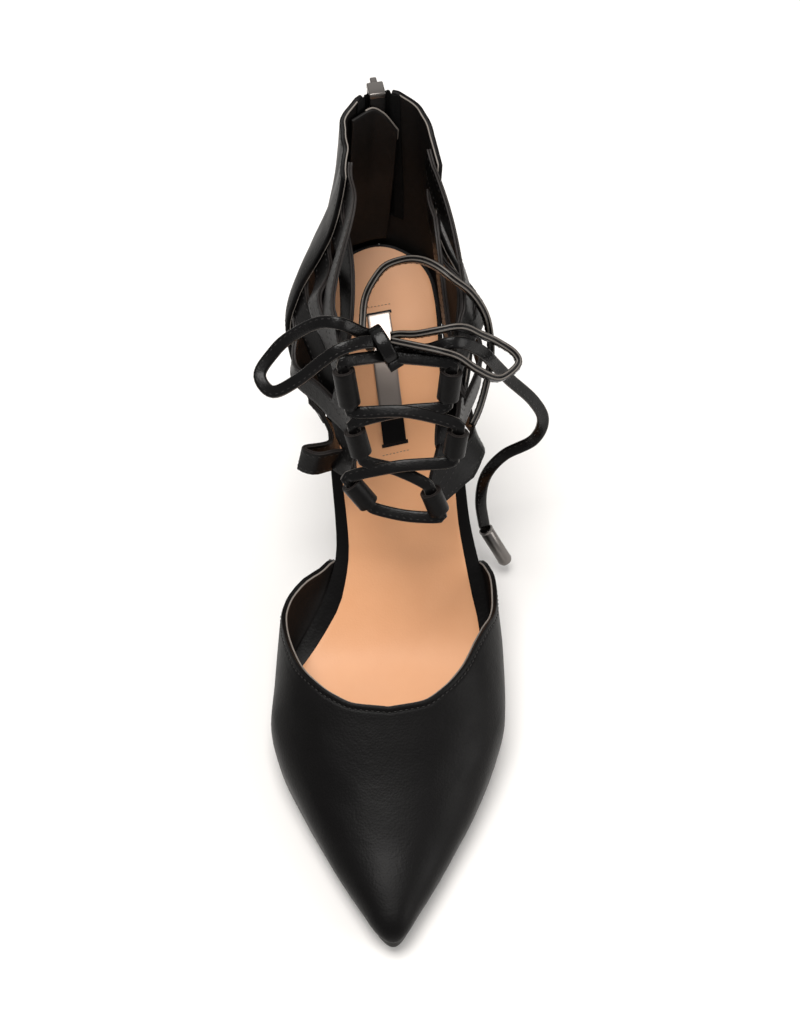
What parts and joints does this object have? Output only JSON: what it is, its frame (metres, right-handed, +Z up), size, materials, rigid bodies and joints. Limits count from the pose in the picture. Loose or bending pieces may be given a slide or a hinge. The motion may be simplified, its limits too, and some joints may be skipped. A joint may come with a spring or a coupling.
{
  "type": "pump shoe",
  "caption": "Black pointed pump for the left foot, with a stiletto heel, an open waist, a strap cage laced over the instep, and a zipped back quarter.",
  "frame": {"origin": "on the floor, below the middle of the shoe without its free lace", "axes": "+Z up, -Y towards the toe, -X towards the medial side"},
  "size_m": [0.0973, 0.2343, 0.1658],
  "materials": {
    "vamp_calf": "smooth semi-matt black calf",
    "strap_calf": "black calf strap, cut edges",
    "lace_leather": "black leather cord",
    "sock_kid": "matt nude kid",
    "board_wrap": "black wrapped board edge",
    "sole_leather": "black sole leather",
    "heel_cover": "black leather wrapped over a moulded heel",
    "top_piece": "hard black polyurethane",
    "zip_tape": "black woven tape",
    "gunmetal": "dark polished metal"
  },
  "bodies": {
    "shoe": {"upper_vamp": "vamp_calf", "upper_quarter": "vamp_calf", "zip_guard": "vamp_calf", "tab_top_medial": "strap_calf", "tab_top_lateral": "strap_calf", "tab_middle_medial": "strap_calf", "tab_middle_lateral": "strap_calf", "tab_low_medial": "strap_calf", "tab_low_lateral": "strap_calf", "lace_bar": "lace_leather", "lace_cross_low": "lace_leather", "lace_cross_high": "lace_leather", "lace_knot": "lace_leather", "lace_bow_medial": "lace_leather", "lace_bow_lateral": "lace_leather", "lace_end_medial": "lace_leather", "lace_end_lateral": "lace_leather", "lace_aglet": "gunmetal", "insole_sock": "sock_kid", "insole_board": "board_wrap", "insole_plate": "gunmetal", "outsole": "sole_leather", "heel": "heel_cover", "heel_tip": "top_piece", "zip_chain": "zip_tape", "zip_slider": "gunmetal"},
    "pull_tab": {"zip_pull": "gunmetal"}
  },
  "joints": [
    {"name": "pull_swing", "type": "hinge", "parent": "shoe", "child": "pull_tab", "pos_m": [-0.0016, 0.11504, 0.15896], "axis": [0.9862, 0.1654, 0], "range_deg": [0, 150]}
  ]
}
